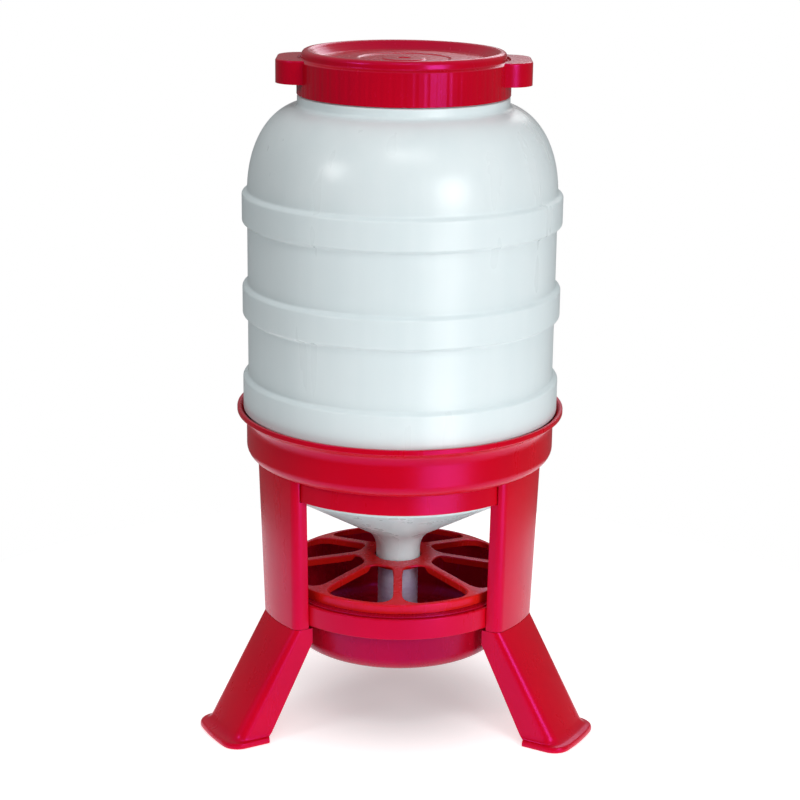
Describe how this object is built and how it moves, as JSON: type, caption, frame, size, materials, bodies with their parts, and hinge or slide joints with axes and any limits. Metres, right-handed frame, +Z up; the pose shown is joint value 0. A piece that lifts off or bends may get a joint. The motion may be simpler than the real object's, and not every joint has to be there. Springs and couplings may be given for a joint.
{
  "type": "gravity poultry feeder",
  "caption": "Free-standing gravity poultry feeder: a banded plastic hopper with screw lid over a round feed bowl and spoked grill, on a flared collar with splayed channel legs.",
  "frame": {"origin": "on the floor, at the middle of the feeder's footprint box; the hopper's upright axis stands 32.75 mm in front of it, at x = 0, y = -0.03275", "axes": "+Z up along the hopper's axis, -Y to the front between the two front legs, +X to the right seen from the front"},
  "size_m": [0.5112, 0.4884, 0.8699],
  "materials": {
    "tank": "satin natural polyethylene",
    "regulator": "satin natural polyethylene",
    "stand_red": "semi-gloss moulded red",
    "bowl_red": "semi-gloss moulded crimson",
    "grill_red": "glossy moulded orange red",
    "seal": "matt",
    "screw": "zinc plated"
  },
  "bodies": {
    "stand": {"collar": "stand_red", "bowl_ring": "stand_red", "post_left": "stand_red", "post_right": "stand_red", "post_rear": "stand_red", "foot_left": "stand_red", "foot_right": "stand_red", "foot_rear": "stand_red", "collar_screw_1": "screw", "collar_screw_2": "screw", "collar_screw_3": "screw", "collar_screw_4": "screw", "collar_screw_5": "screw", "collar_screw_6": "screw", "leg_screw_left": "screw", "leg_screw_right": "screw", "leg_screw_rear": "screw"},
    "bowl": {"bowl": "bowl_red"},
    "grill": {"grill": "grill_red"},
    "hopper": {"hopper": "tank"},
    "regulator": {"feed_regulator": "regulator"},
    "lid_carrier": {"lid_seal": "seal"},
    "lid": {"lid": "stand_red"}
  },
  "joints": [
    {"name": "bowl_lift", "type": "slide", "parent": "stand", "child": "bowl", "axis": [0, 0, 1], "range_m": [0, 0.33]},
    {"name": "grill_lift", "type": "slide", "parent": "bowl", "child": "grill", "axis": [0, 0, 1], "range_m": [0, 0.1]},
    {"name": "hopper_lift", "type": "slide", "parent": "grill", "child": "hopper", "axis": [0, 0, 1], "range_m": [0, 0.34]},
    {"name": "regulator_slide", "type": "slide", "parent": "hopper", "child": "regulator", "axis": [0, 0, 1], "range_m": [-0.006, 0.015]},
    {"name": "lid_lift", "type": "slide", "parent": "hopper", "child": "lid_carrier", "axis": [0, 0, 1], "range_m": [0, 0.048]},
    {"name": "lid_turn", "type": "hinge", "parent": "lid_carrier", "child": "lid", "pos_m": [0, -0.03275, 0.86], "axis": [0, 0, 1], "range_deg": [0, 1440]}
  ],
  "couplings": [
    {"joint": "lid_lift", "follows": "lid_turn", "m_per_rad": 0.0019099}
  ]
}
